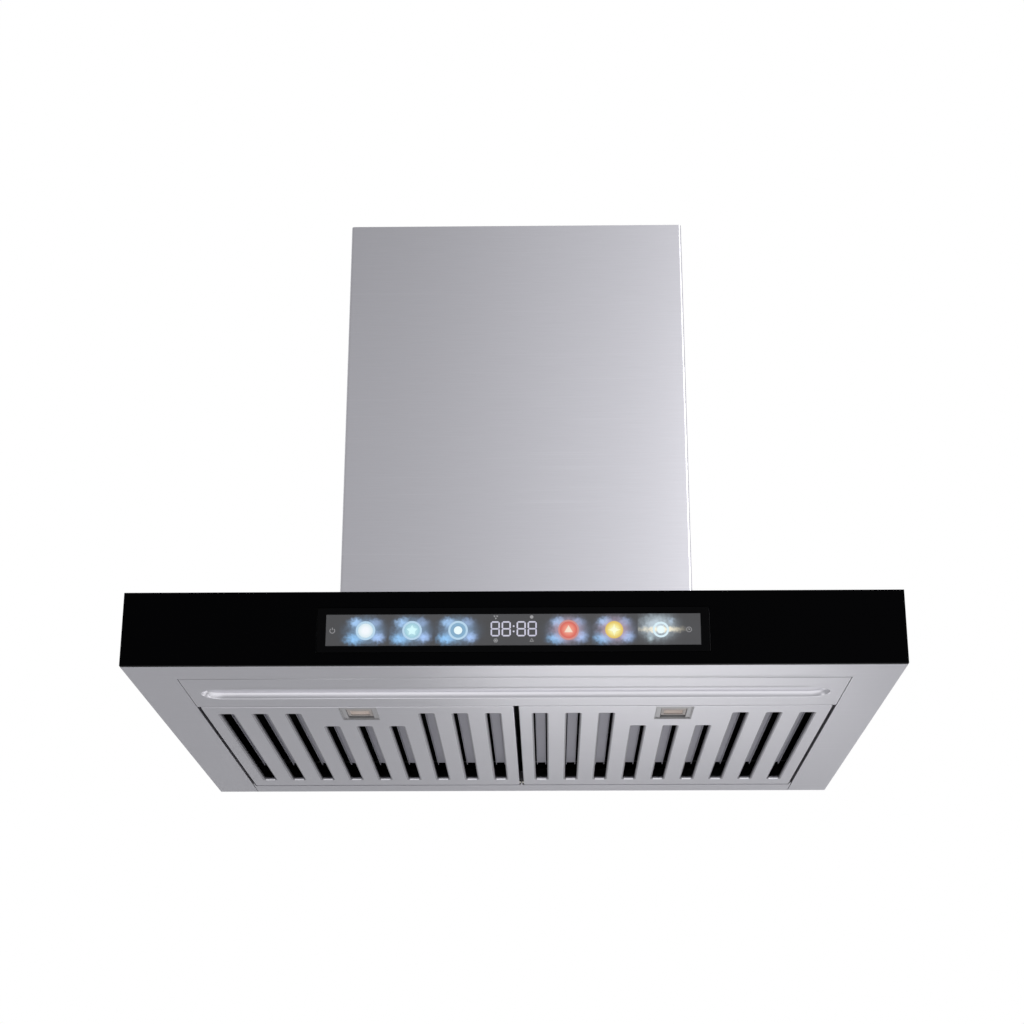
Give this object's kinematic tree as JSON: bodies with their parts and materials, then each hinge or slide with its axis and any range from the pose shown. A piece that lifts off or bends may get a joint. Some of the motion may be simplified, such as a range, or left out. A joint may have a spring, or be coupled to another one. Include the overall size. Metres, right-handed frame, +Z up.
{
  "type": "island range hood",
  "caption": "Stainless island range hood with a black glass touch front, hinged baffle filters, a blower and a telescopic ceiling chimney.",
  "frame": {"origin": "centre of the ceiling bracket's top face, where the hood hangs from the ceiling", "axes": "+X to the right seen from the front, +Y towards the back, +Z up to the ceiling; the glass front faces -Y"},
  "size_m": [0.75, 0.6, 0.548],
  "materials": {
    "brushed_steel": "stainless steel with a fine brushed grain",
    "galvanised_steel": "galvanised sheet",
    "zinc_plate": "zinc plated",
    "black_glass": "toughened glass, black behind, polished edges",
    "display_window": "smoked window with lit keys and a clock behind it",
    "black_plastic": "moulded black plastic",
    "grey_plastic": "moulded grey plastic",
    "white_plastic": "moulded white plastic",
    "circuit_board": "green solder mask",
    "motor_enamel": "dark grey enamel"
  },
  "bodies": {
    "ceiling_frame": {"ceiling_bracket": "galvanised_steel", "upper_leg_front_left": "galvanised_steel", "upper_leg_front_right": "galvanised_steel", "upper_leg_rear_left": "galvanised_steel", "upper_leg_rear_right": "galvanised_steel", "chimney_upper_front": "brushed_steel", "chimney_upper_rear": "brushed_steel"},
    "hood": {"canopy_shell": "brushed_steel", "canopy_top": "brushed_steel", "canopy_back": "brushed_steel", "front_glass": "black_glass", "display_bezel": "black_plastic", "display_window": "display_window", "control_board": "circuit_board", "front_inner_panel": "brushed_steel", "rear_rail": "brushed_steel", "hinge_rod_left": "zinc_plate", "hinge_rod_right": "zinc_plate", "chimney_lower_front": "brushed_steel", "chimney_lower_rear": "brushed_steel", "chimney_base_ring": "galvanised_steel", "lower_leg_front_left": "galvanised_steel", "lower_leg_front_right": "galvanised_steel", "lower_leg_rear_left": "galvanised_steel", "lower_leg_rear_right": "galvanised_steel", "height_bolt_front_left": "zinc_plate", "height_bolt_front_right": "zinc_plate", "height_bolt_rear_left": "zinc_plate", "height_bolt_rear_right": "zinc_plate", "blower_box": "galvanised_steel", "scroll_housing_left": "black_plastic", "scroll_housing_right": "black_plastic", "inlet_ring_left": "grey_plastic", "inlet_ring_right": "grey_plastic", "motor": "motor_enamel", "motor_spider": "galvanised_steel", "duct_collar": "black_plastic", "damper_pin": "zinc_plate", "junction_box": "white_plastic", "junction_lid": "white_plastic", "cable_gland": "black_plastic", "motor_capacitor": "white_plastic", "power_box": "black_plastic", "power_box_lid": "black_plastic"},
    "filter_left": {"filter_face_left": "brushed_steel", "filter_baffles_left": "brushed_steel", "latch_tray_left": "zinc_plate"},
    "filter_right": {"filter_face_right": "brushed_steel", "filter_baffles_right": "brushed_steel", "latch_tray_right": "zinc_plate"},
    "latch_left": {"latch_pull_left": "zinc_plate", "latch_spring_left": "zinc_plate"},
    "latch_right": {"latch_pull_right": "zinc_plate", "latch_spring_right": "zinc_plate"},
    "impeller": {"blower_wheel": "grey_plastic", "motor_shaft": "zinc_plate"},
    "damper_front": {"damper_flap_front": "black_plastic"},
    "damper_rear": {"damper_flap_rear": "black_plastic"}
  },
  "joints": [
    {"name": "height_adjust", "type": "slide", "parent": "ceiling_frame", "child": "hood", "axis": [0, 0, -1], "range_m": [0, 0.3]},
    {"name": "filter_left_hinge", "type": "hinge", "parent": "hood", "child": "filter_left", "pos_m": [-0.16415, 0.258, -0.5446], "axis": [1, 0, 0], "range_deg": [0, 70]},
    {"name": "filter_right_hinge", "type": "hinge", "parent": "hood", "child": "filter_right", "pos_m": [0.16415, 0.258, -0.5446], "axis": [1, 0, 0], "range_deg": [0, 70]},
    {"name": "latch_left_slide", "type": "slide", "parent": "filter_left", "child": "latch_left", "axis": [0, 1, 0], "range_m": [0, 0.007], "stiffness_N_per_m": 300, "springref_m": -0.006, "deforming": ["latch_spring_left"]},
    {"name": "latch_right_slide", "type": "slide", "parent": "filter_right", "child": "latch_right", "axis": [0, 1, 0], "range_m": [0, 0.007], "stiffness_N_per_m": 300, "springref_m": -0.006, "deforming": ["latch_spring_right"]},
    {"name": "impeller_spin", "type": "hinge", "parent": "hood", "child": "impeller", "pos_m": [0, -0.03624, -0.37382], "axis": [1, 0, 0], "continuous": true},
    {"name": "damper_front_hinge", "type": "hinge", "parent": "hood", "child": "damper_front", "pos_m": [0, 0, -0.2134], "axis": [-1, 0, 0], "range_deg": [0, 75]},
    {"name": "damper_rear_hinge", "type": "hinge", "parent": "hood", "child": "damper_rear", "pos_m": [0, 0, -0.2134], "axis": [1, 0, 0], "range_deg": [0, 75]}
  ]
}
